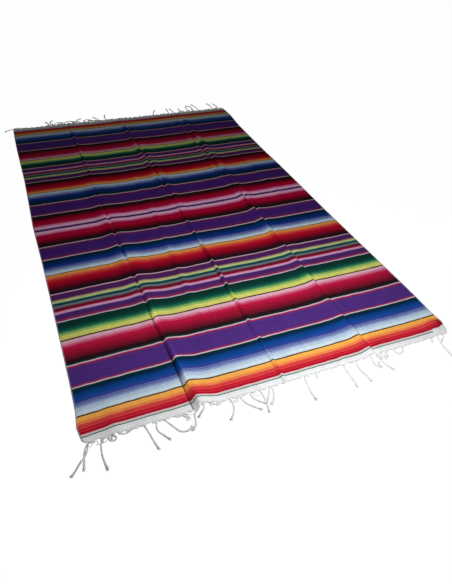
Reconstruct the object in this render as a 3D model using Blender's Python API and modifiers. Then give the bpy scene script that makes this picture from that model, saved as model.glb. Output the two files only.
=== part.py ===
"""A striped serape blanket, laid flat on the floor after being stored folded in quarters.

One woven panel lies flat between three old fold lines, which stand up as low ridges along its
length. At each end the warp ends are twisted into sparse cords, rooted in a narrow knotted edge.
Metres, +Z up. X runs along the stripes, Y from the near end to the far end, and the floor is
z = 0. The origin is the middle of the whole footprint, fringe included.
"""

import math

import bmesh
import bpy

# Driving dimensions
WIDTH = 1.27
LENGTH = 2.116
CLOTH_THICK = 0.0020
CORD_WIDE = 0.0042
EDGE_WIDE = 0.0040
EDGE_THICK = 0.0020
SEAM_GAP = 0.0003
FLOOR_GAP = 0.0005

# The fringe reaches further on one side than on the other, so the cloth's own middle lies here
CLOTH_MIDDLE = (0.022, 0.008)

# Where the heights of a ridge are given, as parts of the length from the near end
STATIONS = (0.0, 0.09, 0.25, 0.5, 0.75, 1.0)

# The fold lines, from side to side: the place across the cloth at the near end, how far it has
# wandered by the far end, the widths of its two slopes, and its height at each station in mm
RIDGES = (
    {"at": -0.340, "wander": 0.006, "left": 0.024, "right": 0.014, "mm": (3, 5, 9, 7, 4, 4)},
    {"at": -0.302, "wander": -0.004, "left": 0.019, "right": 0.085, "mm": (25, 16, 11, 5, 1, 0)},
    {"at": -0.160, "wander": 0.000, "left": 0.022, "right": 0.026, "mm": (0, 1, 5, 2, 1, 3)},
    {"at": -0.006, "wander": -0.026, "left": 0.020, "right": 0.010, "mm": (6, 7, 10, 6, 6, 6)},
    {"at": 0.014, "wander": 0.006, "left": 0.008, "right": 0.034, "mm": (0, 0, 1, 6, 5, 3)},
    {"at": 0.328, "wander": -0.022, "left": 0.048, "right": 0.011, "mm": (13, 8, 11, 12, 5, 4)},
    {"at": 0.356, "wander": -0.006, "left": 0.014, "right": 0.036, "mm": (2, 3, 4, 6, 3, 1)},
)
LONG_SLOPE = 0.030
WIDEST_COLUMN = 0.085
NARROWEST_COLUMN = 0.0035
SIDE_COLUMNS = (0.016, 0.036, 0.056, 0.080)
NEAR_ROWS = (0.0, 0.012, 0.026, 0.042, 0.060, 0.082, 0.110)
EVEN_ROWS = 26

# Small humps: the turned-up near right corner, and kinks left between the fold lines. Place
# across, distance from the near end, half width and half length, and height in mm
HUMPS = (
    {"at": 0.596, "from_near": 0.050, "wide": 0.044, "long": 0.036, "mm": 12},
    {"at": -0.540, "from_near": 0.018, "wide": 0.034, "long": 0.070, "mm": 4},
    {"at": 0.215, "from_near": 0.024, "wide": 0.028, "long": 0.060, "mm": 3},
)

# How far the two selvedges lie outside straight lines, in mm, going up from the near end
SIDES = (
    {"from_near": 0.000, "left": -9, "right": -8},
    {"from_near": 0.012, "left": -1, "right": 1},
    {"from_near": 0.055, "left": 8, "right": 10},
    {"from_near": 0.110, "left": 2, "right": 9},
    {"from_near": 0.220, "left": 1, "right": 12},
    {"from_near": 0.500, "left": 3, "right": 6},
    {"from_near": 0.850, "left": 5, "right": 1},
    {"from_near": 1.100, "left": 10, "right": -3},
    {"from_near": 1.500, "left": 4, "right": -5},
    {"from_near": 1.850, "left": 6, "right": -6},
    {"from_near": 2.000, "left": 5, "right": 6},
    {"from_near": 2.116, "left": 2, "right": 2},
)
SIDE_FADE = 4
END_WAVE = 0.0010
END_WAVES = 4.3

# Fringe cords, from left to right: place along the edge and length in mm, the heading at the root,
# the even bend along the whole cord and the extra hook past its middle in degrees, towards +X,
# and the part of its length at which it lies over another cord (0 where it lies over none)
NEAR_CORDS = (
    {"at": -632, "long": 77, "lead": -13, "bend": 0, "hook": 0, "over": 0},
    {"at": -625, "long": 106, "lead": 10, "bend": -100, "hook": 40, "over": 0.62},
    {"at": -587, "long": 95, "lead": -8, "bend": 12, "hook": 22, "over": 0},
    {"at": -577, "long": 20, "lead": -6, "bend": 0, "hook": 0, "over": 0},
    {"at": -566, "long": 76, "lead": 34, "bend": 20, "hook": 250, "over": 0},
    {"at": -532, "long": 50, "lead": 30, "bend": 75, "hook": 10, "over": 0},
    {"at": -461, "long": 86, "lead": 2, "bend": 12, "hook": 12, "over": 0},
    {"at": -430, "long": 76, "lead": -12, "bend": 74, "hook": -16, "over": 0},
    {"at": -403, "long": 90, "lead": 14, "bend": 100, "hook": 0, "over": 0},
    {"at": -376, "long": 82, "lead": 40, "bend": 30, "hook": 260, "over": 0},
    {"at": -312, "long": 91, "lead": 4, "bend": -50, "hook": 16, "over": 0},
    {"at": -281, "long": 56, "lead": -8, "bend": -34, "hook": 0, "over": 0},
    {"at": -260, "long": 42, "lead": 4, "bend": 120, "hook": 0, "over": 0},
    {"at": -203, "long": 76, "lead": 16, "bend": -66, "hook": 0, "over": 0},
    {"at": -172, "long": 76, "lead": 18, "bend": 34, "hook": 0, "over": 0},
    {"at": -141, "long": 50, "lead": 14, "bend": 36, "hook": 0, "over": 0},
    {"at": -104, "long": 84, "lead": 4, "bend": -16, "hook": 0, "over": 0},
    {"at": -75, "long": 52, "lead": -20, "bend": -10, "hook": 0, "over": 0},
    {"at": -62, "long": 66, "lead": -2, "bend": -50, "hook": -10, "over": 0},
    {"at": 52, "long": 88, "lead": -14, "bend": 24, "hook": 0, "over": 0},
    {"at": 97, "long": 16, "lead": -20, "bend": 0, "hook": 0, "over": 0},
    {"at": 190, "long": 84, "lead": 10, "bend": -14, "hook": 0, "over": 0},
    {"at": 244, "long": 90, "lead": -14, "bend": 34, "hook": -12, "over": 0},
    {"at": 300, "long": 60, "lead": -8, "bend": 20, "hook": 120, "over": 0},
    {"at": 326, "long": 78, "lead": 4, "bend": 26, "hook": 0, "over": 0},
    {"at": 345, "long": 30, "lead": 6, "bend": -46, "hook": 0, "over": 0},
    {"at": 368, "long": 32, "lead": 6, "bend": -90, "hook": 0, "over": 0},
    {"at": 391, "long": 56, "lead": 32, "bend": 100, "hook": 0, "over": 0},
    {"at": 560, "long": 18, "lead": -30, "bend": 0, "hook": 0, "over": 0},
    {"at": 577, "long": 104, "lead": -8, "bend": 8, "hook": 8, "over": 0},
    {"at": 614, "long": 34, "lead": -36, "bend": -22, "hook": 0, "over": 0},
)
FAR_CORDS = (
    {"at": -632, "long": 94, "lead": -78, "bend": -115, "hook": 0, "over": 0},
    {"at": -449, "long": 78, "lead": 14, "bend": -26, "hook": 0, "over": 0},
    {"at": -420, "long": 66, "lead": -30, "bend": 110, "hook": 0, "over": 0},
    {"at": -404, "long": 60, "lead": 22, "bend": 118, "hook": 0, "over": 0},
    {"at": -338, "long": 60, "lead": 20, "bend": 14, "hook": 0, "over": 0},
    {"at": -292, "long": 64, "lead": 14, "bend": 126, "hook": 0, "over": 0},
    {"at": -233, "long": 34, "lead": 40, "bend": 70, "hook": 0, "over": 0},
    {"at": -196, "long": 40, "lead": 20, "bend": 80, "hook": 0, "over": 0},
    {"at": -146, "long": 62, "lead": -16, "bend": -20, "hook": 0, "over": 0},
    {"at": -117, "long": 78, "lead": -8, "bend": 22, "hook": 0, "over": 0},
    {"at": 173, "long": 66, "lead": 20, "bend": 4, "hook": 0, "over": 0},
    {"at": 271, "long": 68, "lead": 8, "bend": -14, "hook": 0, "over": 0},
    {"at": 306, "long": 66, "lead": -3, "bend": -12, "hook": 0, "over": 0},
    {"at": 352, "long": 56, "lead": -4, "bend": 8, "hook": 30, "over": 0},
    {"at": 398, "long": 66, "lead": 4, "bend": 4, "hook": 0, "over": 0},
    {"at": 437, "long": 70, "lead": 0, "bend": -30, "hook": -20, "over": 0},
    {"at": 470, "long": 86, "lead": 0, "bend": -22, "hook": 0, "over": 0},
    {"at": 569, "long": 80, "lead": -4, "bend": -12, "hook": 0, "over": 0},
    {"at": 604, "long": 74, "lead": -2, "bend": -14, "hook": 0, "over": 0},
)
CORD_STEP = 0.0095
CORD_START = 0.0027
CORD_FLARE = 1.2
CORD_DROP = 0.020
OVER_RISE = 0.0060
OVER_SPREAD = 0.26

# Colours, as linear RGB
WOOL = (0.18, 0.02, 0.09)
COTTON = (0.62, 0.60, 0.57)


def smooth(t):
    """An even S from 0 to 1."""
    t = min(max(t, 0.0), 1.0)
    return t * t * (3.0 - 2.0 * t)


def between(places, values, at):
    """The value at a place, straight between the two places next to it."""
    for (p0, v0), (p1, v1) in zip(zip(places, values), zip(places[1:], values[1:])):
        if at <= p1:
            return v0 + (v1 - v0) * max(at - p0, 0.0) / (p1 - p0)
    return values[-1]


def slope(distance, width):
    """How much of a ridge is left at a distance from its crest."""
    t = min(distance / width, 1.0)
    if width > LONG_SLOPE:
        return (1.0 - t) ** 1.5
    return 1.0 - smooth(t)


def lift(across, along):
    """Height of the cloth's underside over the floor; across in metres, along from 0 to 1."""
    height = 0.0
    for row in RIDGES:
        away = across - row["at"]
        crest = between(STATIONS, row["mm"], along) / 1000.0
        width = row["left"] if away < 0.0 else row["right"]
        height = max(height, crest * slope(abs(away), width))
    for row in HUMPS:
        from_side = (across - row["at"]) / row["wide"]
        from_end = (along * LENGTH - row["from_near"]) / row["long"]
        height = max(height, row["mm"] / 1000.0 * (1.0 - smooth(math.hypot(from_side, from_end))))
    return height


def wander(across, along):
    """How far the cloth is shifted across by the wandering of its fold lines."""
    places = [-WIDTH / 2] + [row["at"] for row in RIDGES] + [WIDTH / 2]
    shifts = [0.0] + [row["wander"] for row in RIDGES] + [0.0]
    return between(places, shifts, across) * along


def ground(across, along):
    """Where a point of the cloth lies on the floor."""
    places = [row["from_near"] for row in SIDES]
    outs = [row["left"] if across < 0.0 else row["right"] for row in SIDES]
    out = between(places, outs, along * LENGTH) / 1000.0
    x = across + wander(across, along)
    x += math.copysign(out, across) * (2.0 * abs(across) / WIDTH) ** SIDE_FADE
    end_wave = END_WAVE * math.sin(2.0 * math.pi * END_WAVES * across / WIDTH + 3.0 * along)
    y = (along - 0.5) * LENGTH + end_wave
    return x + CLOTH_MIDDLE[0], y + CLOTH_MIDDLE[1]


def columns():
    """Places across the cloth for the grid: close together on the slopes, far apart between."""
    places = [-WIDTH / 2, WIDTH / 2]
    for step in SIDE_COLUMNS:
        places += [step - WIDTH / 2, WIDTH / 2 - step]
    for row in RIDGES:
        steps_left = (1.0, 0.5)
        steps_right = (0.5, 1.0)
        if row["left"] > LONG_SLOPE:
            steps_left = (1.0, 0.6, 0.25)
        if row["right"] > LONG_SLOPE:
            steps_right = (0.2, 0.5, 1.0)
        places += [row["at"] - step * row["left"] for step in steps_left]
        places += [row["at"] + step * row["right"] for step in steps_right]
    crests = [row["at"] for row in RIDGES]
    kept = [place for place in places if all(abs(place - at) > NARROWEST_COLUMN for at in crests)]
    kept = sorted(kept + crests)
    spaced = [kept[0]]
    for place in kept[1:]:
        gap = place - spaced[-1]
        if gap < NARROWEST_COLUMN and place not in crests:
            continue
        parts = math.ceil(gap / WIDEST_COLUMN)
        spaced += [spaced[-1] + gap * part / parts for part in range(1, parts + 1)]
    return spaced


def rows():
    """Places along the cloth for the grid, closer together at the near end."""
    even = LENGTH - NEAR_ROWS[-1]
    far = [NEAR_ROWS[-1] + even * row / EVEN_ROWS for row in range(1, EVEN_ROWS + 1)]
    return [place / LENGTH for place in (*NEAR_ROWS, *far)]


def material(name, colour, roughness):
    """A plain cloth finish."""
    made = bpy.data.materials.new(name)
    made.use_nodes = True
    shader = made.node_tree.nodes["Principled BSDF"]
    shader.inputs["Base Color"].default_value = (*colour, 1.0)
    shader.inputs["Roughness"].default_value = roughness
    shader.inputs["Metallic"].default_value = 0.0
    return made


def sheet(name, across, along, place, thick, finish, collection):
    """A grid of points laid out by place(across, along), thickened upwards from its underside."""
    bm = bmesh.new()
    bmesh.ops.create_grid(bm, x_segments=len(across) - 1, y_segments=len(along) - 1, size=0.5)
    for vert in bm.verts:
        column = round((vert.co.x + 0.5) * (len(across) - 1))
        row = round((vert.co.y + 0.5) * (len(along) - 1))
        vert.co = place(across[column], along[row])
    mesh = bpy.data.meshes.new(name)
    bm.to_mesh(mesh)
    bm.free()
    mesh.materials.append(finish)
    made = bpy.data.objects.new(name, mesh)
    collection.objects.link(made)
    wall = made.modifiers.new("Wall", "SOLIDIFY")
    wall.thickness = thick
    wall.offset = 1.0
    return made


def cloth(finish, collection):
    """The woven panel."""

    def place(across, along):
        x, y = ground(across, along)
        return x, y, lift(across, along)

    sheet("cloth", columns(), rows(), place, CLOTH_THICK, finish, collection)


def cord_route(row, along, outward):
    """Points of one fringe cord, from its root in the knotted edge out over the floor."""
    across = row["at"] / 1000.0
    length = row["long"] / 1000.0
    rest = CORD_WIDE / 2 * CORD_FLARE + FLOOR_GAP
    edge_height = lift(across, along)
    drop = CORD_DROP + 2.0 * edge_height
    x, y = ground(across, along)
    y += outward * CORD_START
    count = max(3, round(length / CORD_STEP))
    step = length / count
    points = []
    for index in range(count + 1):
        part = index / count
        rise = edge_height * (1.0 - smooth(index * step / drop))
        if row["over"]:
            rise += OVER_RISE * (1.0 - smooth(abs(part - row["over"]) / OVER_SPREAD))
        points.append((x, y, rest + rise))
        middle = part + 0.5 / count
        turn = row["lead"] + row["bend"] * middle + row["hook"] * max(0.0, 2.0 * middle - 1.0)
        x += step * math.sin(math.radians(turn))
        y += outward * step * math.cos(math.radians(turn))
    return points


def cords(name, table, along, outward, collection):
    """All the cords of one end as one mesh of separate square-sectioned strands."""
    curve = bpy.data.curves.new(name, "CURVE")
    curve.dimensions = "3D"
    curve.twist_mode = "Z_UP"
    curve.bevel_depth = CORD_WIDE / 2
    curve.bevel_resolution = 0
    curve.use_fill_caps = True
    for row in table:
        points = cord_route(row, along, outward)
        spline = curve.splines.new("POLY")
        spline.points.add(len(points) - 1)
        for point, place in zip(spline.points, points):
            point.co = (*place, 1.0)
        spline.points[-1].radius = CORD_FLARE
    drawn = bpy.data.objects.new(name + "_line", curve)
    collection.objects.link(drawn)
    evaluated = drawn.evaluated_get(bpy.context.evaluated_depsgraph_get())
    mesh = bpy.data.meshes.new_from_object(evaluated)
    bm = bmesh.new()
    bm.from_mesh(mesh)
    bmesh.ops.remove_doubles(bm, verts=bm.verts, dist=0.00005)
    bm.to_mesh(mesh)
    bm.free()
    made = bpy.data.objects.new(name, mesh)
    made.matrix_world = drawn.matrix_world
    made.hide_render = True
    made.display_type = "WIRE"
    collection.objects.link(made)
    bpy.data.objects.remove(drawn)
    return made


def fringe(name, table, along, outward, finish, collection, tools):
    """The knotted edge of one end, with the cords that root in it."""

    def place(across, out):
        x, y = ground(across, along)
        return x, y + outward * (SEAM_GAP + EDGE_WIDE * out), lift(across, along) + FLOOR_GAP

    outs = (0.0, 1.0) if outward > 0 else (1.0, 0.0)
    made = sheet(name, columns(), outs, place, EDGE_THICK, finish, collection)
    join = made.modifiers.new("Cords", "BOOLEAN")
    join.operation = "UNION"
    join.solver = "EXACT"
    join.object = cords(name + "_cords", table, along, outward, tools)


def main():
    for old in list(bpy.data.objects):
        bpy.data.objects.remove(old)
    collection = bpy.data.collections.new("serape")
    tools = bpy.data.collections.new("tools")
    bpy.context.scene.collection.children.link(collection)
    bpy.context.scene.collection.children.link(tools)
    wool = material("wool", WOOL, 0.9)
    cotton = material("cotton", COTTON, 0.85)
    cloth(wool, collection)
    fringe("fringe_near", NEAR_CORDS, 0.0, -1.0, cotton, collection, tools)
    fringe("fringe_far", FAR_CORDS, 1.0, 1.0, cotton, collection, tools)


main()
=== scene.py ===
"""A striped serape blanket, laid flat on the floor with three old fold lines along its length.

One weft-faced woven sheet, with a knotted edge and sparse twisted cords at each end. Metres, +Z up.
X runs along the stripes, Y from the near end to the far end, and the floor is z = 0.
"""

import math
import random

import bmesh
import bpy
from mathutils import Matrix, Vector, noise


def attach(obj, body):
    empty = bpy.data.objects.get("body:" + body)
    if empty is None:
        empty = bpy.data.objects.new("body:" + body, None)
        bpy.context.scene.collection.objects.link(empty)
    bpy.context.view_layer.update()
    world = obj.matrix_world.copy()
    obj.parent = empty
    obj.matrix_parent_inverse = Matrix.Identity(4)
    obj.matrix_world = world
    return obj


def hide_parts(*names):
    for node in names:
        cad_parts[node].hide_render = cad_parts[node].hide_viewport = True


# The woven cloth
WIDTH = 1.27
LENGTH = 2.116
CLOTH_THICK = 0.0019
CLOTH_MIDDLE = (0.022, 0.008)

# The fringe
CORD_WIDE = 0.0048
CORD_FLARE = 1.2
CORD_START = 0.0027
CORD_DROP = 0.020
OVER_RISE = 0.0060
OVER_SPREAD = 0.26
FLOOR_GAP = 0.0005

# Where the places and heights of a ridge are given, as parts of the length from the near end
STATIONS = (0.0, 0.09, 0.25, 0.45, 0.58, 0.75, 1.0)

# The ridges along the fold lines, from side to side: the widths of the two slopes, and at each
# station the place across the cloth and the height, in mm. A fold line is one ridge in some places
# and two with a valley between them in others
RIDGES = (
    {"left": 0.050, "right": 0.010, "at": (-322, -324, -332, -342, -342, -343, -343),
     "mm": (1, 1, 5, 9, 6, 2, 1)},
    {"left": 0.012, "right": 0.011, "at": (-328, -328, -328, -328, -329, -331, -332),
     "mm": (0, 0, 0, 0, 5, 10, 10)},
    {"left": 0.016, "right": 0.075, "at": (-293, -304, -310, -317, -318, -320, -322),
     "mm": (25, 17, 11, 8, 5, 3, 2)},
    {"left": 0.022, "right": 0.026, "at": (-165, -165, -160, -132, -126, -124, -124),
     "mm": (0, 1, 5, 4, 3, 1, 1)},
    {"left": 0.032, "right": 0.008, "at": (-22, -22, -22, -22, -23, -28, -30),
     "mm": (0, 0, 0, 1, 5, 12, 8)},
    {"left": 0.011, "right": 0.011, "at": (-10, -10, -10, -10, -10, -10, -10),
     "mm": (7, 6, 11, 9, 1, 0, 0)},
    {"left": 0.016, "right": 0.042, "at": (2, 2, 2, 3, 3, 0, 0),
     "mm": (0, 0, 0, 1, 9, 5, 2)},
    {"left": 0.036, "right": 0.010, "at": (296, 296, 296, 296, 296, 292, 290),
     "mm": (0, 0, 0, 0, 5, 6, 3)},
    {"left": 0.042, "right": 0.012, "at": (320, 318, 317, 314, 312, 312, 312),
     "mm": (14, 7, 9, 13, 6, 0, 0)},
    {"left": 0.018, "right": 0.042, "at": (348, 346, 344, 338, 328, 330, 332),
     "mm": (2, 2, 3, 5, 8, 10, 6)},
    {"left": 0.030, "right": 0.030, "at": (500, 500, 500, 500, 500, 500, 500),
     "mm": (0, 0, 0, 1, 3, 2, 0)},
)
# A slope wider than this, in metres, eases out in a longer curve
LONG_SLOPE = 0.030
# Past this part of the length the folds lie flatter, and at the far end by this much
FLATTER_FROM = 0.90
FLATTER = 0.65
# How far the fold lines stray, in metres, and how uneven their height is
WAVER = 0.0032
FOLD_UNEVEN = 0.30

# Shallow buckles all over: the height in metres, and how many there are to a metre each way
BUCKLES = (
    {"high": 0.0016, "across": 3.2, "along": 1.4, "seed": 1.0},
    {"high": 0.0007, "across": 9.0, "along": 4.0, "seed": 5.0},
)
SHEET_GAP = 0.0002
END_RAGGED = 0.0020

# The spacing of the cloth's grid, in metres, how far the close rows reach from each end, and the
# least that the last row but one keeps from the far edge
COLUMN_STEPS = {"plain": 0.0110, "ridge": 0.0065, "crest": 0.0024, "selvedge": 0.0045}
ROW_STEPS = {"near": 0.0042, "plain": 0.0130, "far": 0.0050}
NEAR_CLOSE = 0.115
FAR_CLOSE = 0.045
LEAST_ROW = 0.0048

# Shade painted along the fold lines: the width, and at each station the place across in mm and how
# dark it is. The last row paints light instead, on the steep wall of the near left fold
PAINTED_FOLD_LINES = (
    {"wide": 0.009, "at": (-315, -318, -326, -328, -330, -331, -332),
     "dark": (1.8, 1.8, 1.1, 0.4, 0.3, 0.3, 0.1)},
    {"wide": 0.007, "at": (-4, -4, -4, -5, -14, -17, -20),
     "dark": (0.1, 0.1, 0.3, 0.3, 0.4, 0.4, 0.1)},
    {"wide": 0.009, "at": (328, 326, 325, 322, 320, 318, 318),
     "dark": (0.0, 0.1, 0.2, 0.3, 0.1, 0.0, 0.0)},
    {"wide": 0.010, "at": (309, 309, 309, 309, 308, 307, 306),
     "dark": (0.0, 0.0, 0.0, 0.0, 0.5, 0.5, 0.1)},
    {"wide": 0.014, "at": (-302, -309, -316, -324, -326, -326, -326),
     "dark": (-2.0, -2.0, -1.3, -0.7, -0.3, 0.0, 0.0)},
)

# The most that the painted shade of the fold lines and spots darkens a place together
DARKEST = 1.4

# Deep shade under small curled places: place across, distance from the near end, half sizes
SPOTS = (
    {"at": 0.623, "from_near": 0.050, "wide": 0.020, "long": 0.022, "dark": 1.0},
)

# Small humps: the turned-up near right corner, and kinks left between the fold lines. Place
# across, distance from the near end, half width and half length, and height in mm
HUMPS = (
    {"at": 0.596, "from_near": 0.050, "wide": 0.044, "long": 0.036, "mm": 12},
    {"at": -0.540, "from_near": 0.018, "wide": 0.034, "long": 0.070, "mm": 4},
    {"at": 0.215, "from_near": 0.024, "wide": 0.028, "long": 0.060, "mm": 3},
)

# How far the two selvedges lie outside straight lines, in mm, going up from the near end
SIDES = (
    {"from_near": 0.000, "left": -9, "right": 0},
    {"from_near": 0.012, "left": 2, "right": 10},
    {"from_near": 0.055, "left": 8, "right": 19},
    {"from_near": 0.110, "left": 2, "right": 16},
    {"from_near": 0.220, "left": 0, "right": 17},
    {"from_near": 0.500, "left": 1, "right": 12},
    {"from_near": 0.850, "left": 3, "right": 4},
    {"from_near": 1.100, "left": 8, "right": 3},
    {"from_near": 1.300, "left": 4, "right": 2},
    {"from_near": 1.500, "left": 1, "right": -3},
    {"from_near": 1.850, "left": 4, "right": -2},
    {"from_near": 2.000, "left": 3, "right": 8},
    {"from_near": 2.116, "left": 0, "right": 3},
)
SIDE_FADE = 4
END_WAVE = 0.0010
END_WAVES = 4.3

# Fringe cords, from left to right: place along the edge and length in mm, the heading at the root,
# the even bend along the whole cord and the extra hook past its middle in degrees, towards +X,
# and the part of its length at which it lies over another cord (0 where it lies over none)
CORD_COLUMNS = ("at", "long", "lead", "bend", "hook", "over")
NEAR_CORDS = [dict(zip(CORD_COLUMNS, row)) for row in (
    (-632, 79, -38, 60, -40, 0),
    (-630, 102, -13, -55, 18, 0.62),
    (-591, 96, -20, 39, -5, 0),
    (-584, 14, -60, 60, 0, 0),
    (-570, 61, -31, 330, 97, 0),
    (-541, 45, 47, 120, -45, 0),
    (-466, 86, 14, -11, 15, 0),
    (-429, 74, -38, 139, -60, 0),
    (-406, 101, 30, 1, 119, 0),
    (-373, 54, 75, 55, -330, 0),
    (-300, 77, -75, 149, -142, 0),
    (-293, 42, 49, -219, 121, 0),
    (-267, 37, 47, 61, 70, 0),
    (-201, 75, 17, -83, 12, 0),
    (-168, 80, 2, 78, -28, 0),
    (-135, 60, -7, 101, -40, 0),
    (-102, 79, 8, -28, 4, 0),
    (-71, 52, -25, -18, 3, 0),
    (-62, 66, -2, -50, -10, 0),
    (55, 91, -16, 16, 12, 0),
    (97, 16, -20, 0, 0, 0),
    (199, 90, -10, 24, -25, 0),
    (248, 88, -30, 88, -55, 0),
    (300, 60, 9, -44, 227, 0),
    (326, 78, 4, 26, 0, 0),
    (344, 25, -70, 120, 0, 0),
    (365, 35, 13, -77, -174, 0),
    (402, 71, -41, 302, -81, 0),
    (560, 18, -30, 0, 0, 0),
    (586, 95, -18, 17, 7, 0),
    (613, 46, -31, -52, 25, 0),
)]
FAR_CORDS = [dict(zip(CORD_COLUMNS, row)) for row in (
    (-634, 54, -112, -20, 0, 0),
    (-450, 58, 53, -156, 102, 0),
    (-419, 73, -27, 46, 54, 0),
    (-409, 90, -6, 214, -40, 0),
    (-352, 88, -8, 190, 0, 0),
    (-282, 66, -12, 75, 30, 0),
    (-243, 82, -14, 205, 0, 0),
    (-183, 49, 75, 39, 19, 0),
    (-156, 61, 1, -68, 38, 0),
    (-112, 73, -25, 79, -44, 0),
    (175, 72, 20, 5, -2, 0),
    (275, 71, 2, 11, -23, 0),
    (310, 68, -4, -9, -4, 0),
    (355, 55, 1, -7, 1, 0),
    (397, 88, 15, -17, 17, 0),
    (433, 89, 12, -13, -60, 0),
    (466, 101, 15, -45, 0, 0),
    (560, 93, 19, -40, -7, 0),
    (597, 82, 18, -42, 3, 0),
)]

# Tangles of loose warp ends in front of the edge: place along the edge, spread, and how far out
# they reach in mm, how many ends, and their thickness beside a ply's
NEAR_TANGLES = (
    {"at": -600, "spread": 30, "reach": 14, "ends": 5, "thick": 0.75},
    {"at": -300, "spread": 20, "reach": 12, "ends": 3, "thick": 0.75},
    {"at": -160, "spread": 34, "reach": 16, "ends": 6, "thick": 0.75},
    {"at": 350, "spread": 22, "reach": 14, "ends": 3, "thick": 0.75},
)
FAR_TANGLES = (
    {"at": -590, "spread": 40, "reach": 12, "ends": 4, "thick": 1.1},
    {"at": -405, "spread": 40, "reach": 30, "ends": 8, "thick": 1.4},
    {"at": -290, "spread": 60, "reach": 24, "ends": 7, "thick": 1.4},
    {"at": -190, "spread": 30, "reach": 22, "ends": 5, "thick": 1.3},
    {"at": 0, "spread": 160, "reach": 9, "ends": 6, "thick": 1.1},
    {"at": 400, "spread": 50, "reach": 30, "ends": 10, "thick": 1.3},
    {"at": 590, "spread": 30, "reach": 16, "ends": 6, "thick": 1.1},
)

# How the cords are laid up from two plies
LAY_PITCH = 0.0092
PLY_RADIUS = 0.0016
FIBRE_RADIUS = 0.00045
ROUTE_STEP = 0.0012

# The frayed end of a cord, its knot and its stray fibres, in metres. The spread and the curl are
# beside the tuft's length, and KNOTTED is the share of cords that have a knot
TUFT_LONG = (0.012, 0.022)
TUFT_FIBRES = 22
TUFT_SPREAD = 0.28
TUFT_CURL = 0.22
KNOTTED = 0.75
KNOT_POINTS = 14
KNOT_LONG = 0.0042
KNOT_WIDE = 0.0021
KNOT_HIGH = 0.0017
STRAY_EVERY = 0.006
STRAY_LONG = (0.002, 0.006)

# The lumps of the knotted edge, in metres but for their thickness beside a ply's, and the share
# of them with a short tail
LUMP_BROAD = (0.007, 0.022)
LUMP_BULGE = (0.0002, 0.0026)
LUMP_THICK = (1.2, 1.9)
TAILED = 0.25
TAIL_LEAN = 0.0060
TAIL_LONG = (0.0025, 0.0080)

# A tangled end: the length of its steps, and where it starts in front of the edge
TANGLE_STEP = 0.0024
TANGLE_START = 0.0014

# The dyes, as linear RGB
DYES = {
    "violet": (0.09, 0.035, 0.14),
    "lilac": (0.95, 0.53, 0.78),
    "pink": (0.88, 0.26, 0.48),
    "rose": (0.64, 0.05, 0.16),
    "crimson": (0.53, 0.003, 0.048),
    "raspberry": (0.39, 0.028, 0.125),
    "deep red": (0.34, 0.002, 0.022),
    "maroon": (0.11, 0.003, 0.014),
    "black": (0.022, 0.008, 0.012),
    "cream": (0.68, 0.58, 0.67),
    "magenta": (0.175, 0.032, 0.135),
    "plum": (0.088, 0.022, 0.13),
    "purple": (0.065, 0.017, 0.205),
    "bright purple": (0.086, 0.030, 0.23),
    "ink": (0.003, 0.022, 0.06),
    "deep navy": (0.002, 0.028, 0.16),
    "deep blue": (0.006, 0.042, 0.28),
    "navy": (0.003, 0.046, 0.17),
    "royal blue": (0.005, 0.066, 0.33),
    "violet blue": (0.055, 0.060, 0.31),
    "steel blue": (0.19, 0.23, 0.50),
    "sky blue": (0.36, 0.50, 0.74),
    "pale sky": (0.67, 0.81, 0.89),
    "bark": (0.07, 0.035, 0.015),
    "amber": (0.99, 0.47, 0.09),
    "orange": (0.98, 0.30, 0.080),
    "scarlet": (0.76, 0.065, 0.050),
    "red": (0.63, 0.008, 0.026),
    "bottle green": (0.005, 0.039, 0.033),
    "grey green": (0.08, 0.25, 0.16),
    "forest green": (0.002, 0.105, 0.072),
    "leaf green": (0.05, 0.30, 0.13),
    "lime": (0.46, 0.76, 0.17),
    "lemon": (0.78, 0.76, 0.18),
    "straw": (0.60, 0.47, 0.22),
    "pale lime": (0.60, 0.72, 0.28),
    "sand": (0.36, 0.22, 0.17),
    "teal": (0.010, 0.058, 0.095),
    "slate": (0.18, 0.21, 0.24),
    "dusk": (0.13, 0.05, 0.055),
    "wine": (0.12, 0.010, 0.03),
    "orchid": (0.74, 0.42, 0.62),
    "cherry": (0.62, 0.020, 0.085),
    "ruby": (0.53, 0.008, 0.050),
    "brick": (0.33, 0.008, 0.033),
    "umber": (0.12, 0.008, 0.022),
    "blush": (0.84, 0.48, 0.58),
    "ecru": (0.74, 0.60, 0.60),
    "white": (0.92, 0.93, 0.95),
}

# Bare warp at the selvedges, the fringe's cotton in its worn and fair tones, and its paler tone
# where light is painted on the near end's right
BARE_WARP = (0.66, 0.68, 0.74, 1.0)
COTTON_WORN = (0.62, 0.61, 0.61, 1.0)
COTTON_FAIR = (0.80, 0.79, 0.78, 1.0)
COTTON_PAINTED_LIGHT = (0.86, 0.86, 0.86, 1.0)

# The near right corner, where only the white header shows: it begins this far from the left
# selvedge, and this far from the cloth's middle, in metres
LOOSE_ACROSS = 1.215
LOOSE_ALONG = -1.0262

# The weave, in metres: from rib to rib over the warp, and from pick to pick
RIB = 0.0042
PICK = 0.0016

# How wide, in mm, the picks are that swap dyes with their neighbours, and those with their own tone
PAIR_MM = 3.1
PICK_TONE_MM = 2.1

# How the stripes wander: the scale of each noise to a metre, and how far it ranges in mm
WANDERS = ((5.0, 3.0), (26.0, 4.0))

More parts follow.
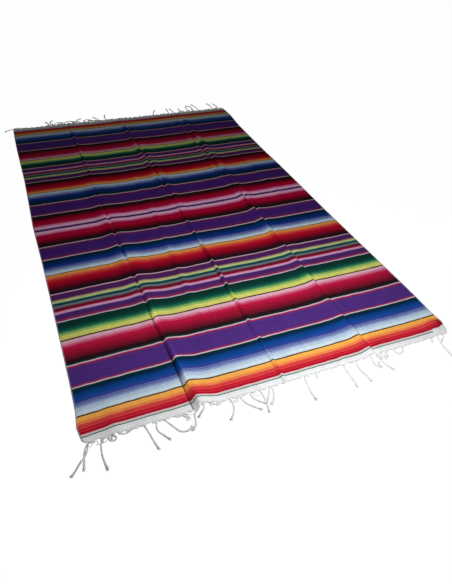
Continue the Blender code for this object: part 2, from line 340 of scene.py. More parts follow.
# The stripes from the middle of the cloth out, the same towards both ends: where each one stops in
# mm from the middle, and the dyes that it runs from and into
STRIPE_COLUMNS = ("to", "from", "into")
STRIPES = [dict(zip(STRIPE_COLUMNS, row)) for row in (
    (6, "violet", "violet"),
    (10, "violet", "lilac"),
    (20, "lilac", "lilac"),
    (28, "lilac", "pink"),
    (36, "pink", "rose"),
    (42, "rose", "crimson"),
    (58, "crimson", "crimson"),
    (73, "crimson", "deep red"),
    (88, "deep red", "maroon"),
    (98, "maroon", "black"),
    (114, "black", "black"),
    (118, "bottle green", "bottle green"),
    (122, "cream", "cream"),
    (126, "raspberry", "raspberry"),
    (134, "magenta", "plum"),
    (148, "plum", "purple"),
    (174, "purple", "purple"),
    (193, "purple", "plum"),
    (199, "plum", "magenta"),
    (204, "raspberry", "raspberry"),
    (208.5, "cream", "cream"),
    (213, "bottle green", "bottle green"),
    (224, "ink", "ink"),
    (239, "ink", "deep navy"),
    (254, "deep navy", "deep blue"),
    (262, "deep blue", "violet blue"),
    (270, "violet blue", "steel blue"),
    (282, "steel blue", "sky blue"),
    (292, "sky blue", "pale sky"),
    (302, "pale sky", "pale sky"),
    (307, "bark", "bark"),
    (312, "amber", "amber"),
    (322, "orange", "orange"),
    (331, "orange", "scarlet"),
    (342, "scarlet", "red"),
    (370, "red", "deep red"),
    (388, "deep red", "maroon"),
    (397, "maroon", "black"),
    (415, "black", "black"),
    (419.5, "cream", "cream"),
    (426, "raspberry", "plum"),
    (450, "plum", "plum"),
    (455, "sand", "sand"),
    (461, "straw", "straw"),
    (467, "pale lime", "pale lime"),
    (471, "leaf green", "leaf green"),
    (482, "teal", "teal"),
    (493, "slate", "slate"),
    (498, "dusk", "dusk"),
    (510, "wine", "deep red"),
    (516, "deep red", "pink"),
    (523, "orchid", "orchid"),
    (528, "orchid", "bright purple"),
    (546, "bright purple", "plum"),
    (556, "plum", "magenta"),
    (563, "raspberry", "raspberry"),
    (567.5, "cream", "cream"),
    (592, "bottle green", "bottle green"),
    (611, "bottle green", "forest green"),
    (620, "forest green", "leaf green"),
    (629, "leaf green", "lime"),
    (637, "lime", "lemon"),
    (652, "lemon", "lemon"),
    (658, "bark", "bark"),
    (672, "blush", "blush"),
    (676, "blush", "pink"),
    (683, "pink", "cherry"),
    (702, "cherry", "ruby"),
    (725, "ruby", "brick"),
    (743, "brick", "umber"),
    (752, "umber", "black"),
    (762, "black", "black"),
    (768, "bottle green", "bottle green"),
    (772.5, "cream", "cream"),
    (778, "cherry", "raspberry"),
    (786, "magenta", "bright purple"),
    (837, "bright purple", "bright purple"),
    (849, "bright purple", "bright purple"),
    (853, "magenta", "magenta"),
    (857.5, "raspberry", "raspberry"),
    (862, "cream", "cream"),
    (869, "bottle green", "bottle green"),
    (875, "ink", "ink"),
    (884, "ink", "navy"),
    (893, "navy", "royal blue"),
    (907, "royal blue", "royal blue"),
    (917, "royal blue", "violet blue"),
    (926, "violet blue", "steel blue"),
    (937, "steel blue", "sky blue"),
    (945, "sky blue", "pale sky"),
    (963, "pale sky", "pale sky"),
    (968, "bark", "bark"),
    (980, "amber", "amber"),
    (984, "orange", "orange"),
    (987, "amber", "amber"),
    (991, "orange", "orange"),
    (994, "scarlet", "scarlet"),
    (997, "orange", "orange"),
    (1000, "cherry", "cherry"),
    (1004, "scarlet", "scarlet"),
    (1007, "crimson", "crimson"),
    (1011, "scarlet", "scarlet"),
    (1014, "crimson", "crimson"),
    (1018, "red", "scarlet"),
    (1021, "deep red", "deep red"),
    (1026, "red", "crimson"),
    (1033, "ecru", "ecru"),
    (1037, "grey green", "grey green"),
    (1066, "white", "white"),
)]

# Where picks of two neighbouring dyes alternate, in mm from the middle, and how many mm each pick
# is taken from further along the stripes
MIXED = (
    {"from": 10, "to": 44, "mm": 3.0},
    {"from": 56, "to": 106, "mm": 5.0},
    {"from": 134, "to": 190, "mm": 4.0},
    {"from": 226, "to": 298, "mm": 6.0},
    {"from": 310, "to": 404, "mm": 5.0},
    {"from": 580, "to": 646, "mm": 5.0},
    {"from": 661, "to": 756, "mm": 5.0},
    {"from": 782, "to": 846, "mm": 4.0},
    {"from": 878, "to": 956, "mm": 7.0},
    {"from": 972, "to": 1018, "mm": 3.0},
)

# The weaving is a little uneven: how far the stripes lie further towards the far end than an even
# one puts them, in mm, at places along the cloth in mm from its middle
UNEVEN = (
    (-1058, 0), (-780, 0), (-728, 3), (-670, -1), (-400, 1), (-336, 2), (-280, -2), (-224, 0),
    (-112, 2), (-56, 3), (0, 5), (56, 6), (112, 1), (168, 5), (224, 6), (280, 11), (336, 7),
    (392, 4), (448, 6), (504, 7), (560, 3), (616, -1), (672, -4), (728, -3), (784, -5),
    (840, -2), (896, -2), (952, 1), (1008, -6), (1058, -5),
)

# It is pulled slightly askew: how far the stripes lie towards the near end at places across the
# cloth, in mm, in the near half and in the far half
ASKEW = (
    {"at": -0.635, "near": 1, "far": 1},
    {"at": -0.540, "near": 0, "far": 1},
    {"at": -0.430, "near": -3, "far": 2},
    {"at": -0.165, "near": -1, "far": 2},
    {"at": 0.150, "near": 2, "far": 0},
    {"at": 0.430, "near": 0, "far": -4},
    {"at": 0.540, "near": 2, "far": -5},
    {"at": 0.635, "near": 3, "far": -5},
)


def smooth(t):
    """An even S from 0 to 1."""
    t = min(max(t, 0.0), 1.0)
    return t * t * (3.0 - 2.0 * t)


def between(places, values, at):
    """The value at a place, straight between the two places next to it."""
    for (p0, v0), (p1, v1) in zip(zip(places, values), zip(places[1:], values[1:])):
        if at <= p1:
            return v0 + (v1 - v0) * max(at - p0, 0.0) / (p1 - p0)
    return values[-1]


def slope(distance, width):
    """How much of a ridge is left at a distance from its crest."""
    t = min(distance / width, 1.0)
    if width > LONG_SLOPE:
        return 0.70 * (1.0 - smooth(t)) + 0.30 * (1.0 - t) ** 2
    return 0.70 * (1.0 - smooth(t)) + 0.30 * (1.0 - t)


def lift(across, along):
    """Height of the cloth's underside over the floor; across in metres, along from 0 to 1."""
    height = 0.0
    for row in RIDGES:
        away = across - between(STATIONS, row["at"], along) / 1000.0
        crest = between(STATIONS, row["mm"], along) / 1000.0
        width = row["left"] if away < 0.0 else row["right"]
        height = max(height, crest * slope(abs(away), width))
    height *= 1.0 - FLATTER * smooth((along - FLATTER_FROM) / (1.0 - FLATTER_FROM))
    for row in HUMPS:
        from_side = (across - row["at"]) / row["wide"]
        from_end = (along * LENGTH - row["from_near"]) / row["long"]
        height = max(height, row["mm"] / 1000.0 * (1.0 - smooth(math.hypot(from_side, from_end))))
    return height


def waver(across, along):
    """How far a fold line strays from straight at a place."""
    return WAVER * noise.noise((across * 2.0, along * LENGTH * 6.0, 3.0))


def relief(across, along):
    """The height with the cloth's own unevenness: wavering fold lines and shallow buckles."""
    height = lift(across + waver(across, along), along)
    height *= 1.0 + FOLD_UNEVEN * noise.noise((across * 1.5, along * LENGTH * 9.0, 8.0))
    buckle = 0.0
    for row in BUCKLES:
        place = (across * row["across"], along * LENGTH * row["along"], row["seed"])
        buckle += row["high"] * (0.5 + noise.noise(place))
    return height + max(buckle, 0.0) + SHEET_GAP


def ground(across, along):
    """Where a point of the cloth lies on the floor."""
    places = [row["from_near"] for row in SIDES]
    outs = [row["left"] if across < 0.0 else row["right"] for row in SIDES]
    out = between(places, outs, along * LENGTH) / 1000.0
    x = across + math.copysign(1.0, across) * out * (2.0 * abs(across) / WIDTH) ** SIDE_FADE
    end_wave = END_WAVE * math.sin(2.0 * math.pi * END_WAVES * across / WIDTH + 3.0 * along)
    y = (along - 0.5) * LENGTH + end_wave
    return x + CLOTH_MIDDLE[0], y + CLOTH_MIDDLE[1]


def columns():
    """Places across the cloth for its grid: close together at the crests and the selvedges."""
    places = [-WIDTH / 2]
    while places[-1] < WIDTH / 2:
        at = places[-1]
        step = COLUMN_STEPS["plain"]
        for row in RIDGES:
            low = min(row["at"]) / 1000.0
            high = max(row["at"]) / 1000.0
            if low - row["left"] - 0.006 < at < high + row["right"]:
                step = min(step, COLUMN_STEPS["ridge"])
            if low - 0.014 < at < high + 0.012 and max(row["mm"]) > 5:
                step = min(step, COLUMN_STEPS["crest"])
        if WIDTH / 2 - abs(at) < 0.024 or 0.550 < at:
            step = min(step, COLUMN_STEPS["selvedge"])
        places.append(at + step)
    places[-1] = WIDTH / 2
    return places


def rows():
    """Places along the cloth for its grid, closer together at both ends."""
    places = [0.0]
    while places[-1] < LENGTH:
        at = places[-1]
        step = ROW_STEPS["near" if at < NEAR_CLOSE else "plain"]
        if LENGTH - at < FAR_CLOSE:
            step = ROW_STEPS["far"]
        places.append(at + step)
    places = [place for place in places if place < LENGTH - LEAST_ROW] + [LENGTH]
    return [place / LENGTH for place in places]


def painted_shade_at(across, along):
    """How dark the painted shade of the fold lines and spots makes a place, up to DARKEST, and
    below 0 where light is painted on the near left fold's wall.
    """
    dark = 0.0
    across += waver(across, along)
    for row in PAINTED_FOLD_LINES:
        off = abs(across - between(STATIONS, row["at"], along) / 1000.0) / (row["wide"] * 0.7)
        patchy = 0.85 + 0.9 * noise.noise((row["at"][0] * 0.009, along * LENGTH * 9.0, 6.0))
        dark += patchy * between(STATIONS, row["dark"], along) * (1.0 - smooth(off))
    for row in SPOTS:
        from_side = (across - row["at"]) / row["wide"]
        from_end = (along * LENGTH - row["from_near"]) / row["long"]
        dark += row["dark"] * (1.0 - smooth(math.hypot(from_side, from_end)))
    return min(dark, DARKEST)


def woven(across, along):
    """How far out a point lies in the weaving, in metres from the cloth's middle."""
    out = (along - 0.5) * LENGTH
    places = [place / 1000.0 for place, shift in UNEVEN]
    out -= between(places, [shift / 1000.0 for place, shift in UNEVEN], out)
    places = [row["at"] for row in ASKEW]
    near = between(places, [row["near"] for row in ASKEW], across)
    far = between(places, [row["far"] for row in ASKEW], across)
    out += (near + (far - near) * smooth((along - 0.35) / 0.20)) / 1000.0
    corner = smooth((across - 0.605) / 0.030) * (1.0 - smooth(along * LENGTH / 0.075))
    return out - 0.020 * corner


def put_in(made, finish, collection):
    """Gives a piece its finish and its slot, and sets it to ride on the body."""
    made.data.materials.clear()
    made.data.materials.append(finish)
    collection.objects.link(made)
    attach(made, "root")
    return made


def cloth(finish, collection):
    """The woven sheet: a fine grid on its relief, with its place in the weaving as its UV map."""
    across, along = columns(), rows()
    bm = bmesh.new()
    bmesh.ops.create_grid(bm, x_segments=len(across) - 1, y_segments=len(along) - 1, size=0.5)
    weave = bm.loops.layers.uv.new("weave")
    painted_shade = bm.verts.layers.float.new("painted_shade")
    for vert in bm.verts:
        u = across[round((vert.co.x + 0.5) * (len(across) - 1))]
        v = along[round((vert.co.y + 0.5) * (len(along) - 1))]
        x, y = ground(u, v)
        if v in (0.0, 1.0):
            inward = 1.0 - 2.0 * v
            y += inward * (END_RAGGED + END_RAGGED * noise.noise((u * 55.0, v * 9.0, 2.0)))
        vert.co = x, y, relief(u, v)
        # The painted shade and light of the fold lines and spots, kept on each point for the finish
        vert[painted_shade] = painted_shade_at(u, v)
        for loop in vert.link_loops:
            loop[weave].uv = u / WIDTH + 0.5, woven(u, v) / LENGTH + 0.5
    for face in bm.faces:
        face.smooth = True
    mesh = bpy.data.meshes.new("woven_cloth")
    bm.to_mesh(mesh)
    bm.free()
    made = put_in(bpy.data.objects.new("woven_cloth", mesh), finish, collection)
    wall = made.modifiers.new("Wall", "SOLIDIFY")
    wall.thickness = CLOTH_THICK
    wall.offset = 1.0
    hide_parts("cloth")
    return made


def cord_route(row, along, outward):
    """Close points of one cord's middle line, with its heading at each, from its root outwards."""
    across = row["at"] / 1000.0
    length = row["long"] / 1000.0
    rest = CORD_WIDE / 2 * CORD_FLARE + FLOOR_GAP
    edge_height = lift(across, along)
    drop = CORD_DROP + 2.0 * edge_height
    x, y = ground(across, along)
    y += outward * CORD_START
    count = max(6, round(length / ROUTE_STEP))
    step = length / count
    points = []
    for index in range(count + 1):
        part = index / count
        rise = edge_height * (1.0 - smooth(index * step / drop))
        if row["over"]:
            rise += OVER_RISE * (1.0 - smooth(abs(part - row["over"]) / OVER_SPREAD))
        middle = part + 0.5 / count
        turn = math.radians(
            row["lead"] + row["bend"] * middle + row["hook"] * max(0.0, 2.0 * middle - 1.0)
        )
        heading = Vector((math.sin(turn), outward * math.cos(turn), 0.0))
        points.append((Vector((x, y, rest + rise)), heading))
        x += step * heading.x
        y += step * heading.y
    return points


def strand(curve, places, radii):
    """One round strand through the places."""
    spline = curve.splines.new("POLY")
    spline.points.add(len(places) - 1)
    for point, place, radius in zip(spline.points, places, radii):
        point.co = (*place, 1.0)
        point.radius = radius


def lay_cord(plies, fibres, route, chance):
    """One cord of two plies twisted round its middle line, knotted and frayed at its free end."""
    count = len(route) - 1
    length = count * (route[1][0] - route[0][0]).length
    start = chance.uniform(0.0, math.pi)
    tuft = min(chance.uniform(*TUFT_LONG), 0.4 * length)
    for ply in (0.0, math.pi):
        places, radii = [], []
        for index, (place, heading) in enumerate(route):
            gone = length * index / count
            left = length - gone
            side = Vector((heading.y, -heading.x, 0.0))
            turn = start + ply + 2.0 * math.pi * gone / LAY_PITCH
            loose = 1.0 - smooth(left / tuft)
            full = 0.97 + 0.30 * smooth(gone / length) + 0.16 * (1.0 - smooth(gone / 0.009))
            full *= 1.0 + 0.08 * math.sin(gone * 210.0 + start)
            apart = CORD_WIDE * 0.245 * full * (1.0 + 0.6 * loose)
            radius = PLY_RADIUS * full * (1.0 - 0.25 * loose)
            point = place + side * math.cos(turn) * apart
            point.z = max(place.z + math.sin(turn) * apart, radius + 0.0003)
            places.append(point)
            radii.append(radius / PLY_RADIUS)
        strand(plies, places, radii)
    at = max(1, count - round(tuft / length * count))
    if chance.random() < KNOTTED:
        tie(plies, route[at], chance)
    for _ in range(TUFT_FIBRES):
        place, heading = route[min(count, at + chance.randrange(-1, 3))]
        side = Vector((heading.y, -heading.x, 0.0))
        spread = chance.uniform(-TUFT_SPREAD, TUFT_SPREAD)
        reach = tuft * chance.uniform(0.70, 1.20)
        curl = chance.uniform(-TUFT_CURL, TUFT_CURL)
        points = []
        for part in (0.0, 0.25, 0.5, 0.75, 1.0):
            bend = spread * (1.0 - 0.35 * part) + curl * part
            point = place + heading * reach * part + side * reach * bend * part
            fall = place.z * (1.0 - 0.55 * part)
            point.z = max(fall + chance.uniform(-0.3, 0.7) * 0.0015, 0.0009)
            points.append(point)
        strand(fibres, points, (1.8, 1.8, 1.7, 1.4, 0.6))
    for _ in range(int(length / STRAY_EVERY)):
        place, heading = route[chance.randrange(0, len(route))]
        side = Vector((heading.y, -heading.x, 0.0)) * chance.choice((-1.0, 1.0))
        reach = chance.uniform(*STRAY_LONG)
        points = []
        for part in (0.0, 0.5, 1.0):
            point = place + side * (0.0017 + reach * 0.5 * part) + heading * reach * part
            point.z = max(place.z + chance.uniform(-1.0, 1.0) * 0.001 * part, 0.0007)
            points.append(point)
        strand(fibres, points, (0.6, 0.5, 0.3))


def tie(plies, at, chance):
    """An overhand knot in a cord: one ply wound round it once and a half."""
    place, heading = at
    side = Vector((heading.y, -heading.x, 0.0))
    lean = chance.uniform(0.0, math.pi)
    points = []
    last = KNOT_POINTS - 1
    for index in range(KNOT_POINTS):
        turn = lean + 3.0 * math.pi * index / last
        point = place + heading * KNOT_LONG * (index / last - 0.5)
        point = point + side * math.cos(turn) * KNOT_WIDE
        point.z = max(place.z + math.sin(turn) * KNOT_HIGH, PLY_RADIUS * 1.25)
        points.append(point)
    strand(plies, points, (1.15,) * KNOT_POINTS)


def knots(plies, along, outward, chance):
    """The knotted edge: warp ends tied in uneven lumps against the header, some with tails."""
    across = -WIDTH / 2 + 0.005
    while across < WIDTH / 2 - 0.012:
        broad = chance.uniform(*LUMP_BROAD)
        bulge = chance.uniform(*LUMP_BULGE)
        thick = chance.uniform(*LUMP_THICK)
        points = []
        for part in (0.0, 0.25, 0.5, 0.75, 1.0):
            x, y = ground(across + broad * part, along)
            z = lift(across + broad * part, along) + PLY_RADIUS * thick * 1.1 + 0.0002
            points.append((x, y + outward * (bulge * math.sin(math.pi * part) - 0.0008), z))
        strand(plies, points, (0.5 * thick, thick, 1.1 * thick, thick, 0.5 * thick))
        if chance.random() < TAILED:
            x, y, z = points[2]
            lean = chance.uniform(-TAIL_LEAN, TAIL_LEAN)
            reach = chance.uniform(*TAIL_LONG)
            tail = []
            for part in (0.0, 0.5, 1.0):
                fall = (z - PLY_RADIUS - 0.0003) * min(1.0, part * reach / 0.006)
                tail.append((x + lean * part, y + outward * reach * part, z - fall))
            strand(plies, tail, (0.95, 0.9, 0.6))
        across += broad * chance.uniform(0.8, 1.8)


def tangle(plies, row, along, outward, chance):
    """Loose curling warp ends in front of the edge."""
    for _ in range(row["ends"]):
        across = (row["at"] + chance.uniform(-1.0, 1.0) * row["spread"]) / 1000.0
        x, y = ground(across, along)
        z = lift(across, along)
        heading = chance.uniform(-1.2, 1.2)
        curl = chance.uniform(-0.32, 0.32)
        out = TANGLE_START
        points = []
        for index in range(chance.randrange(9, 22)):
            fall = 1.0 - smooth(index / 9.0)
            height = PLY_RADIUS * row["thick"] + z * fall + chance.uniform(0.0003, 0.0012)
            points.append((x, y + outward * out, height))
            heading += curl + chance.uniform(-0.25, 0.25)
            x += TANGLE_STEP * math.sin(heading)
            out = max(out + TANGLE_STEP * math.cos(heading), TANGLE_START)
            out = min(out, row["reach"] / 1000.0)
        strand(plies, points, (row["thick"],) * len(points))


def fringe(name, node, table, tangles, along, outward, seed, finish, collection):
    """The knotted edge of one end and all its cords, as one piece."""
    chance = random.Random(seed)
    plies = bpy.data.curves.new(name + "_plies", "CURVE")
    fibres = bpy.data.curves.new(name + "_fibres", "CURVE")
    for curve, thick, sides in ((plies, PLY_RADIUS, 1), (fibres, FIBRE_RADIUS, 0)):
        curve.dimensions = "3D"
        curve.bevel_depth = thick
        curve.bevel_resolution = sides
        curve.use_fill_caps = True
    for row in table:
        lay_cord(plies, fibres, cord_route(row, along, outward), chance)
    knots(plies, along, outward, chance)
    for row in tangles:
        tangle(plies, row, along, outward, chance)
    bm = bmesh.new()
    for curve in (plies, fibres):
        drawn = bpy.data.objects.new(curve.name, curve)
        collection.objects.link(drawn)
        ready = drawn.evaluated_get(bpy.context.evaluated_depsgraph_get())
        part = bpy.data.meshes.new_from_object(ready)
        bm.from_mesh(part)
        bpy.data.objects.remove(drawn)
        bpy.data.meshes.remove(part)
    bmesh.ops.remove_doubles(bm, verts=bm.verts, dist=0.000005)
    bmesh.ops.recalc_face_normals(bm, faces=bm.faces)
    for face in bm.faces:
        face.smooth = True
    mesh = bpy.data.meshes.new(name)
    bm.to_mesh(mesh)
    bm.free()
    made = put_in(bpy.data.objects.new(name, mesh), finish, collection)
    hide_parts(node)
    return made


def add(tree, kind, values=(), **settings):
    """Adds a node; values maps its input numbers or names to numbers or to sockets to link."""
    made = tree.nodes.new(kind)
    for name, value in settings.items():
        setattr(made, name, value)
    for name, value in dict(values).items():
        if isinstance(value, bpy.types.NodeSocket):
            tree.links.new(value, made.inputs[name])
        else:
            made.inputs[name].default_value = value
    return made


def sums(tree, operation, *values):
    """The result of a Math node."""
    made = add(tree, "ShaderNodeMath", dict(enumerate(values)), operation=operation)
    return made.outputs[0]


def mixed(tree, kind, factor, first, second, blend="MIX"):
    """The result of a Mix node on colours or numbers."""
    made = tree.nodes.new("ShaderNodeMix")
    made.data_type = kind
    if kind == "RGBA":
        made.blend_type = blend
        sockets = (made.inputs[0], made.inputs[6], made.inputs[7])
        out = made.outputs[2]
    else:
        sockets = (made.inputs[0], made.inputs[2], made.inputs[3])
        out = made.outputs[0]
    for socket, value in zip(sockets, (factor, first, second)):
        if isinstance(value, bpy.types.NodeSocket):
            tree.links.new(value, socket)
        else:
            socket.default_value = value
    return out


def new_group(name, takes, gives):
    """An empty shader node group with named inputs and outputs."""
    group = bpy.data.node_groups.new(name, "ShaderNodeTree")
    for label, kind in takes:
        group.interface.new_socket(name=label, in_out="INPUT", socket_type="NodeSocket" + kind)
    for label, kind in gives:
        group.interface.new_socket(name=label, in_out="OUTPUT", socket_type="NodeSocket" + kind)
    entry = group.nodes.new("NodeGroupInput")
    leave = group.nodes.new("NodeGroupOutput")
    return group, entry, leave


def ramp(tree, place, stops):
    """A colour ramp over the given stops, straight between them."""
    low, high = stops[0][0], stops[-1][0]
    factor = sums(tree, "DIVIDE", sums(tree, "SUBTRACT", place, low), high - low)
    made = add(tree, "ShaderNodeValToRGB", {0: factor})
    colours = made.color_ramp.elements
    while len(colours) < len(stops):
        colours.new(0.5)
    for element, (at, colour) in zip(colours, stops):
        element.position = (at - low) / (high - low)
    for element, (at, colour) in zip(colours, stops):
        element.color = (*colour, 1.0)
    return made.outputs[0]


def joined_ramps(tree, place, stops, most):
    """Several ramps end to end, because one ramp has room for only some of the stops."""
    result = None
    first = 0
    while first < len(stops) - 1:
        part = stops[first:first + most]
        colour = ramp(tree, place, part)
        if result is None:
            result = colour
        else:
            past = sums(tree, "GREATER_THAN", place, part[0][0])
            result = mixed(tree, "RGBA", past, result, colour)
        first += most - 1
    return result


def stripe_stops():
    """The stripes as stops: two close together where one dye stops and another starts."""
    stops = []
    start = 0.0
    for row in STRIPES:
        if not stops or stops[-1][1] != DYES[row["from"]]:
            stops.append((start + 0.3 if stops else start, DYES[row["from"]]))
        stops.append((row["to"] - 0.3, DYES[row["into"]]))
        start = row["to"]
    return stops


def mixed_stops():
    """How far picks are displaced, as stops on a grey ramp of 0 to 10 mm."""
    stops = [(0.0, (0.0, 0.0, 0.0))]
    for row in MIXED:
        grey = (row["mm"] / 10.0,) * 3
        stops.append((row["from"], (0.0, 0.0, 0.0)))
        stops.append((row["from"] + 6, grey))
        stops.append((row["to"] - 6, grey))
        stops.append((row["to"], (0.0, 0.0, 0.0)))
    return stops + [(1066.0, (0.0, 0.0, 0.0))]


def weave_group():
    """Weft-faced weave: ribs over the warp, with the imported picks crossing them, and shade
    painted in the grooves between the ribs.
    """
    group, entry, leave = new_group(
        "weft-faced weave",
        (("Across", "Float"), ("Along", "Float"), ("Rib", "Float"), ("Pick", "Float")),
        (("Height", "Float"), ("Groove shade", "Float")),
    )
    rib = sums(group, "DIVIDE", entry.outputs["Across"], entry.outputs["Rib"])
    column = sums(group, "FLOOR", rib)
    odd = sums(group, "MODULO", column, 2.0)
    crown = sums(group, "ABSOLUTE", sums(group, "SINE", sums(group, "MULTIPLY", rib, math.pi)))
    crown = sums(group, "POWER", crown, 0.7)
    pick = sums(group, "DIVIDE", entry.outputs["Along"], entry.outputs["Pick"])
    pick = sums(group, "ADD", pick, sums(group, "MULTIPLY", odd, 0.5))
    bead = sums(group, "ABSOLUTE", sums(group, "SINE", sums(group, "MULTIPLY", pick, math.pi)))
    height = sums(group, "MULTIPLY", crown, sums(group, "MULTIPLY_ADD", bead, 0.45, 0.55))
    group.links.new(height, leave.inputs["Height"])
    group.links.new(sums(group, "SUBTRACT", 1.0, crown), leave.inputs["Groove shade"])
    return group


def fuzz_group():
    """The fine hair of spun yarn, as a height and as a slow patchy tone."""
    group, entry, leave = new_group(
        "spun yarn",
        (("Place", "Vector"), ("Hair size", "Float"), ("Patch size", "Float")),
        (("Height", "Float"), ("Tone", "Float")),
    )
    hair = add(group, "ShaderNodeTexNoise", {
        "Vector": entry.outputs["Place"],
        "Scale": sums(group, "DIVIDE", 1.0, entry.outputs["Hair size"]),
        "Detail": 3.0,
        "Roughness": 0.6,
    })
    patch = add(group, "ShaderNodeTexNoise", {
        "Vector": entry.outputs["Place"],
        "Scale": sums(group, "DIVIDE", 1.0, entry.outputs["Patch size"]),
        "Detail": 2.0,
    })
    group.links.new(hair.outputs[0], leave.inputs["Height"])
    group.links.new(patch.outputs[0], leave.inputs["Tone"])
    return group


def stripe_group():
    """The dyed stripes by place in the weaving, with alternate picks mixed in."""
    group, entry, leave = new_group(
        "dyed stripes",
        (("Across", "Float"), ("Along", "Float")),
        (("Colour", "Color"), ("Pick tone", "Float")),
    )
    along = sums(group, "MULTIPLY", entry.outputs["Along"], 1000.0)
    sides = {0: entry.outputs["Across"], 1: entry.outputs["Along"]}
    place = add(group, "ShaderNodeCombineXYZ", sides).outputs[0]
    for scale, far in WANDERS:
        values = {"Vector": place, "Scale": scale, "Detail": 1.0}
        wander = add(group, "ShaderNodeTexNoise", values).outputs[0]
        wander = sums(group, "MULTIPLY", sums(group, "SUBTRACT", wander, 0.5), far)
        along = sums(group, "ADD", along, wander)
    out = sums(group, "ABSOLUTE", along)
    reach = joined_ramps(group, out, mixed_stops(), 30)
    reach = add(group, "ShaderNodeSeparateColor", {0: reach}).outputs[0]
    pair = sums(group, "FLOOR", sums(group, "DIVIDE", along, PAIR_MM))
    odd = sums(group, "MODULO", sums(group, "ABSOLUTE", pair), 2.0)
    turn = sums(group, "MULTIPLY_ADD", odd, 2.0, -1.0)
    chance = add(group, "ShaderNodeTexWhiteNoise", {"W": pair}, noise_dimensions="1D").outputs[0]
    turn = sums(group, "MULTIPLY", turn, sums(group, "MULTIPLY_ADD", chance, 1.1, 0.35))
    jump = sums(group, "MULTIPLY", sums(group, "MULTIPLY", reach, 10.0), turn)
    colour = joined_ramps(group, sums(group, "ADD", out, jump), stripe_stops(), 31)
    pick = sums(group, "FLOOR", sums(group, "DIVIDE", along, PICK_TONE_MM))
    tone = add(group, "ShaderNodeTexWhiteNoise", {"W": pick}, noise_dimensions="1D").outputs[0]
    group.links.new(colour, leave.inputs["Colour"])
    group.links.new(tone, leave.inputs["Pick tone"])
    return group


def shader_of(name, roughness, sheen):
    """A new material's tree and its shader, with the numbers that are even all over it."""
    made = bpy.data.materials.new(name)
    made.use_nodes = True
    shader = made.node_tree.nodes["Principled BSDF"]
    shader.inputs["Roughness"].default_value = roughness
    shader.inputs["Specular IOR Level"].default_value = 0.03
    shader.inputs["Sheen Weight"].default_value = sheen
    shader.inputs["Sheen Roughness"].default_value = 0.6
    return made, made.node_tree, shader


def wool_finish(weave, yarn, stripes):
    """Dyed wool, woven in stripes with white headers."""
    made, tree, shader = shader_of("striped wool", 0.92, 0.0)
    charted = add(tree, "ShaderNodeUVMap", uv_map="weave").outputs[0]
    flat = add(tree, "ShaderNodeSeparateXYZ", {0: charted})
    across = sums(tree, "MULTIPLY", flat.outputs[0], WIDTH)
    along = sums(tree, "MULTIPLY", sums(tree, "SUBTRACT", flat.outputs[1], 0.5), LENGTH)
    chart = add(tree, "ShaderNodeGroup", node_tree=stripes)
    tree.links.new(across, chart.inputs["Across"])
    tree.links.new(along, chart.inputs["Along"])
    body = add(tree, "ShaderNodeGroup", node_tree=weave)
    tree.links.new(across, body.inputs["Across"])
    tree.links.new(along, body.inputs["Along"])
    body.inputs["Rib"].default_value = RIB
    body.inputs["Pick"].default_value = PICK
    place = add(tree, "ShaderNodeCombineXYZ", {0: across, 1: along}).outputs[0]
    hair = add(tree, "ShaderNodeGroup", node_tree=yarn)
    tree.links.new(place, hair.inputs["Place"])
    hair.inputs["Hair size"].default_value = 0.0011
    hair.inputs["Patch size"].default_value = 0.05
    drawn_out = {0: across, 1: sums(tree, "MULTIPLY", along, 0.12)}
    streaks = add(tree, "ShaderNodeTexNoise", {
        "Vector": add(tree, "ShaderNodeCombineXYZ", drawn_out).outputs[0],
        "Scale": 60.0,
        "Detail": 3.0,
    })
    # Painted shade of the fold lines and spots darkens the colour, and painted light on the near
    # left fold's wall brightens it
    painted_shade = add(tree, "ShaderNodeAttribute", attribute_name="painted_shade").outputs["Fac"]
    tone = sums(tree, "MULTIPLY_ADD", chart.outputs["Pick tone"], 0.16, 0.90)
    # The weave's groove output paints shade into the grooves between the ribs
    for source, share, base in (
        (hair.outputs["Tone"], 0.20, 0.90),
        (body.outputs["Groove shade"], -0.25, 1.04),
        (streaks.outputs[0], 0.24, 0.88),
        (painted_shade, -0.55, 1.0),
    ):
        tone = sums(tree, "MULTIPLY", tone, sums(tree, "MULTIPLY_ADD", source, share, base))
    grey = add(tree, "ShaderNodeCombineColor", {0: tone, 1: tone, 2: tone}).outputs[0]
    from_middle = sums(tree, "ABSOLUTE", sums(tree, "SUBTRACT", flat.outputs[0], 0.5))
    edge = sums(tree, "SUBTRACT", 0.5, from_middle)
    selvedge = sums(tree, "MULTIPLY", sums(tree, "LESS_THAN", edge, 0.0026), 0.70)
    bare = mixed(tree, "RGBA", selvedge, chart.outputs["Colour"], BARE_WARP)
    to_right = sums(tree, "GREATER_THAN", across, LOOSE_ACROSS)
    loose = sums(tree, "MULTIPLY", to_right, sums(tree, "LESS_THAN", along, LOOSE_ALONG))
    bare = mixed(tree, "RGBA", loose, bare, (*DYES["white"], 1.0))
    colour = mixed(tree, "RGBA", 1.0, bare, grey, "MULTIPLY")
    tree.links.new(colour, shader.inputs["Base Color"])
    height = sums(tree, "MULTIPLY_ADD", hair.outputs["Height"], 0.30, body.outputs["Height"])
    bump = add(tree, "ShaderNodeBump", {"Strength": 0.55, "Distance": 0.0006, "Height": height})
    tree.links.new(bump.outputs[0], shader.inputs["Normal"])
    return made


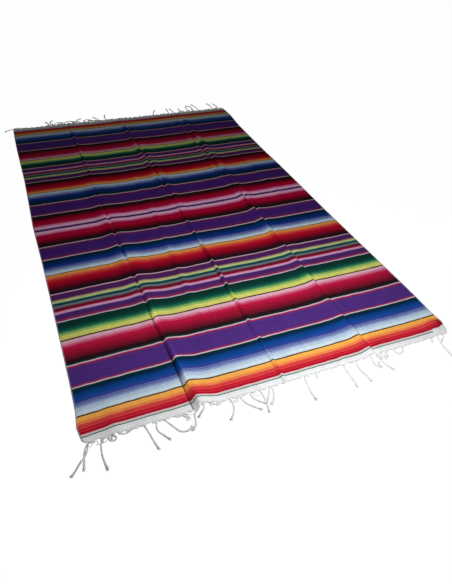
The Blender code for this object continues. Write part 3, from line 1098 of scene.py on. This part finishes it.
def cotton_finish(yarn):
    """Undyed cotton, spun and twisted, in patchy worn and fair tones, with painted light making the
    near end's cords lighter towards the right.
    """
    made, tree, shader = shader_of("white cotton", 0.88, 0.0)
    place = add(tree, "ShaderNodeTexCoord").outputs["Object"]
    hair = add(tree, "ShaderNodeGroup", node_tree=yarn)
    tree.links.new(place, hair.inputs["Place"])
    hair.inputs["Hair size"].default_value = 0.0009
    hair.inputs["Patch size"].default_value = 0.035
    tone = sums(tree, "MULTIPLY_ADD", hair.outputs["Tone"], 0.8, 0.1)
    worn = mixed(tree, "RGBA", tone, COTTON_WORN, COTTON_FAIR)
    parts = add(tree, "ShaderNodeSeparateXYZ", {0: place})
    # Painted light: the near end's cords turn paler towards the right
    lit_right = add(tree, "ShaderNodeMapRange", {0: parts.outputs[0], 1: -0.50, 2: 0.0}).outputs[0]
    lit_right = sums(tree, "MULTIPLY", lit_right, sums(tree, "LESS_THAN", parts.outputs[1], 0.0))
    colour = mixed(tree, "RGBA", lit_right, worn, COTTON_PAINTED_LIGHT)
    tree.links.new(colour, shader.inputs["Base Color"])
    values = {"Strength": 0.5, "Distance": 0.0004, "Height": hair.outputs["Height"]}
    bump = add(tree, "ShaderNodeBump", values)
    tree.links.new(bump.outputs[0], shader.inputs["Normal"])
    return made


def studio(collection):
    """A plain white floor, a soft lamp over the near end and an even pale room."""
    bm = bmesh.new()
    bmesh.ops.create_grid(bm, x_segments=1, y_segments=1, size=20.0)
    bmesh.ops.translate(bm, verts=bm.verts, vec=(0.0, 0.0, -0.0003))
    mesh = bpy.data.meshes.new("floor")
    bm.to_mesh(mesh)
    bm.free()
    floor = bpy.data.objects.new("floor", mesh)
    paint, tree, shader = shader_of("floor white", 0.9, 0.0)
    shader.inputs["Base Color"].default_value = (0.06, 0.06, 0.06, 1.0)
    shader.inputs["Emission Color"].default_value = (1.0, 1.0, 1.0, 1.0)
    shader.inputs["Emission Strength"].default_value = 0.98
    mesh.materials.append(paint)
    collection.objects.link(floor)
    for name, energy, soft, place in (
        ("soft lamp", 41.0, 0.22, (0.13, -1.02, 0.98)),
        ("far lamp", 1.8, 0.30, (0.30, 1.80, 0.80)),
    ):
        lamp = bpy.data.lights.new(name, "POINT")
        lamp.energy = energy
        lamp.shadow_soft_size = soft
        hung = bpy.data.objects.new(name, lamp)
        hung.location = place
        collection.objects.link(hung)
    world = bpy.data.worlds.new("pale room")
    world.use_nodes = True
    tree = world.node_tree
    tree.nodes.clear()
    seen = add(tree, "ShaderNodeBackground", {"Color": (1.0, 1.0, 1.0, 1.0), "Strength": 1.0})
    fill = add(tree, "ShaderNodeBackground", {"Color": (0.96, 0.97, 1.0, 1.0), "Strength": 0.048})
    path = tree.nodes.new("ShaderNodeLightPath")
    pick = add(tree, "ShaderNodeMixShader", {
        0: path.outputs["Is Camera Ray"],
        1: fill.outputs[0],
        2: seen.outputs[0],
    })
    end = tree.nodes.new("ShaderNodeOutputWorld")
    tree.links.new(pick.outputs[0], end.inputs[0])
    bpy.context.scene.world = world
    bpy.context.scene.view_settings.view_transform = "Standard"


def camera(collection):
    """The camera, standing left of the near end and looking down over the cloth."""
    right = Vector((0.92306, -0.38063, 0.05553))
    up = Vector((0.21327, 0.62655, 0.74964))
    forward = Vector((0.32013, 0.68012, -0.65951))
    lens = bpy.data.cameras.new("camera")
    lens.lens = 30.65
    lens.sensor_width = 36.0
    lens.clip_start = 0.05
    lens.clip_end = 60.0
    made = bpy.data.objects.new("camera", lens)
    turn = Matrix((right, up, -forward)).transposed().to_4x4()
    made.matrix_world = Matrix.Translation((-0.598, -1.858, 1.2266)) @ turn
    collection.objects.link(made)
    bpy.context.scene.camera = made


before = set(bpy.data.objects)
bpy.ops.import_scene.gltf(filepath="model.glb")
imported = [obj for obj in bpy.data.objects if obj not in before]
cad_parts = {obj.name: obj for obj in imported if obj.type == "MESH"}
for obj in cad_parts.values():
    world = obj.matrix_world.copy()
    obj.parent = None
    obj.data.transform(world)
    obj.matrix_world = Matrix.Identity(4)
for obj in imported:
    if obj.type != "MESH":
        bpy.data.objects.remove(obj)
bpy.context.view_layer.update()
scene_parts = bpy.context.scene.collection
camera(scene_parts)
studio(scene_parts)

weave = weave_group()
yarn = fuzz_group()
wool = wool_finish(weave, yarn, stripe_group())
cotton = cotton_finish(yarn)

woven_cloth = cloth(wool, scene_parts)
near_fringe = fringe(
    "near_fringe", "fringe_near", NEAR_CORDS, NEAR_TANGLES, 0.0, -1.0, 11, cotton, scene_parts
)
far_fringe = fringe(
    "far_fringe", "fringe_far", FAR_CORDS, FAR_TANGLES, 1.0, 1.0, 23, cotton, scene_parts
)
